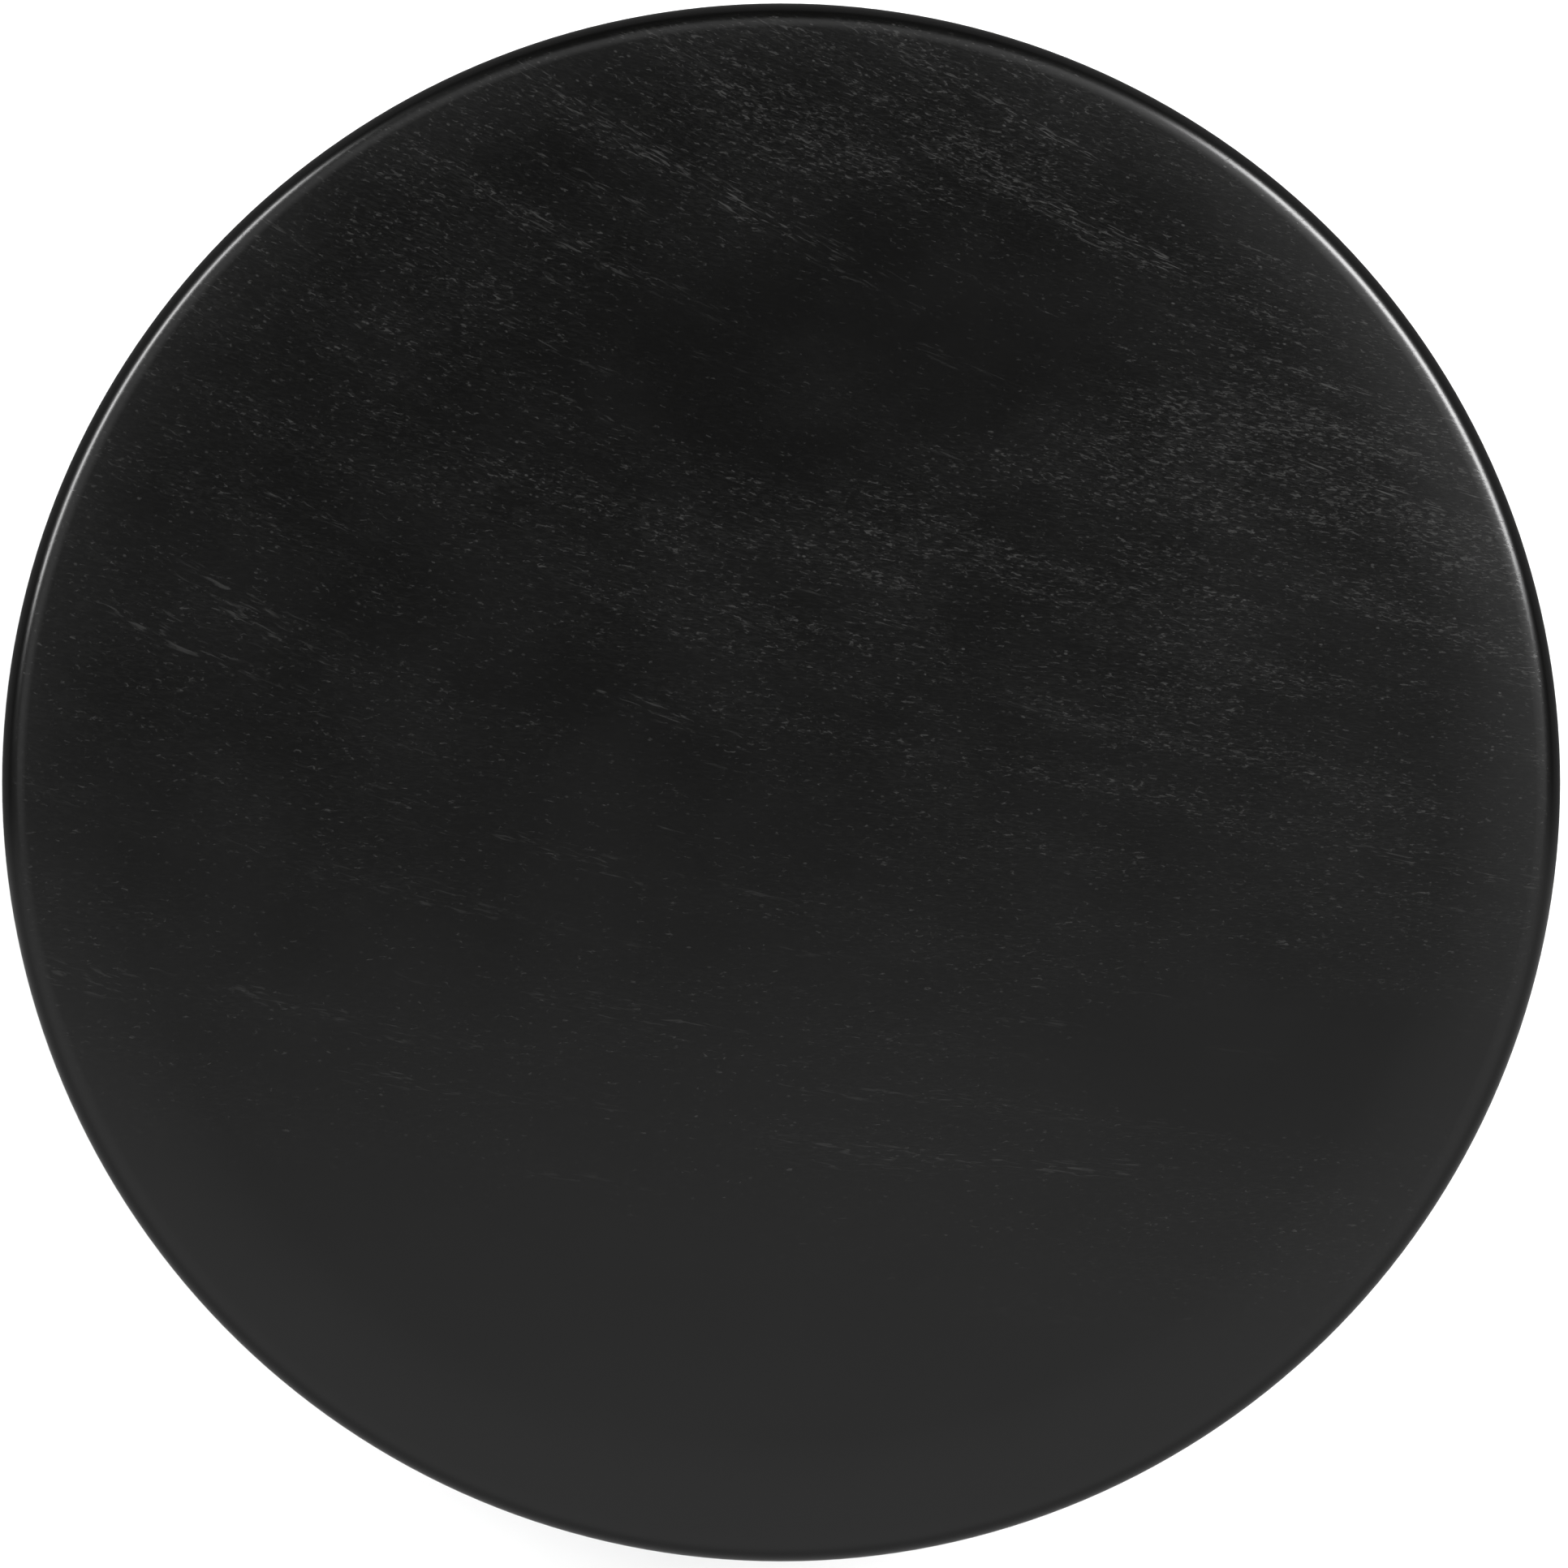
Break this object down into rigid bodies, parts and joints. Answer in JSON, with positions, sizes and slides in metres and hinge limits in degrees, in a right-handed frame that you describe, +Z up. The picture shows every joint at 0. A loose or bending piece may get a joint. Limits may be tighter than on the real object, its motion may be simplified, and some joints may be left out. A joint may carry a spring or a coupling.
{
  "type": "hockey puck",
  "caption": "Flat black rubber disc with two plain faces, rounded edges and a diamond-knurled side, slid and struck in ice hockey.",
  "frame": {"origin": "centre of the bottom face, on the surface that the puck lies on", "axes": "+Z up, out of the top face, along the axis that the disc is round about; X and Y lie in the bottom face"},
  "size_m": [0.0762, 0.0762, 0.0254],
  "materials": {
    "puck_rubber": "satin, near-black, with fine short marks in the faces"
  },
  "bodies": {
    "root": {"puck": "puck_rubber"}
  },
  "joints": []
}
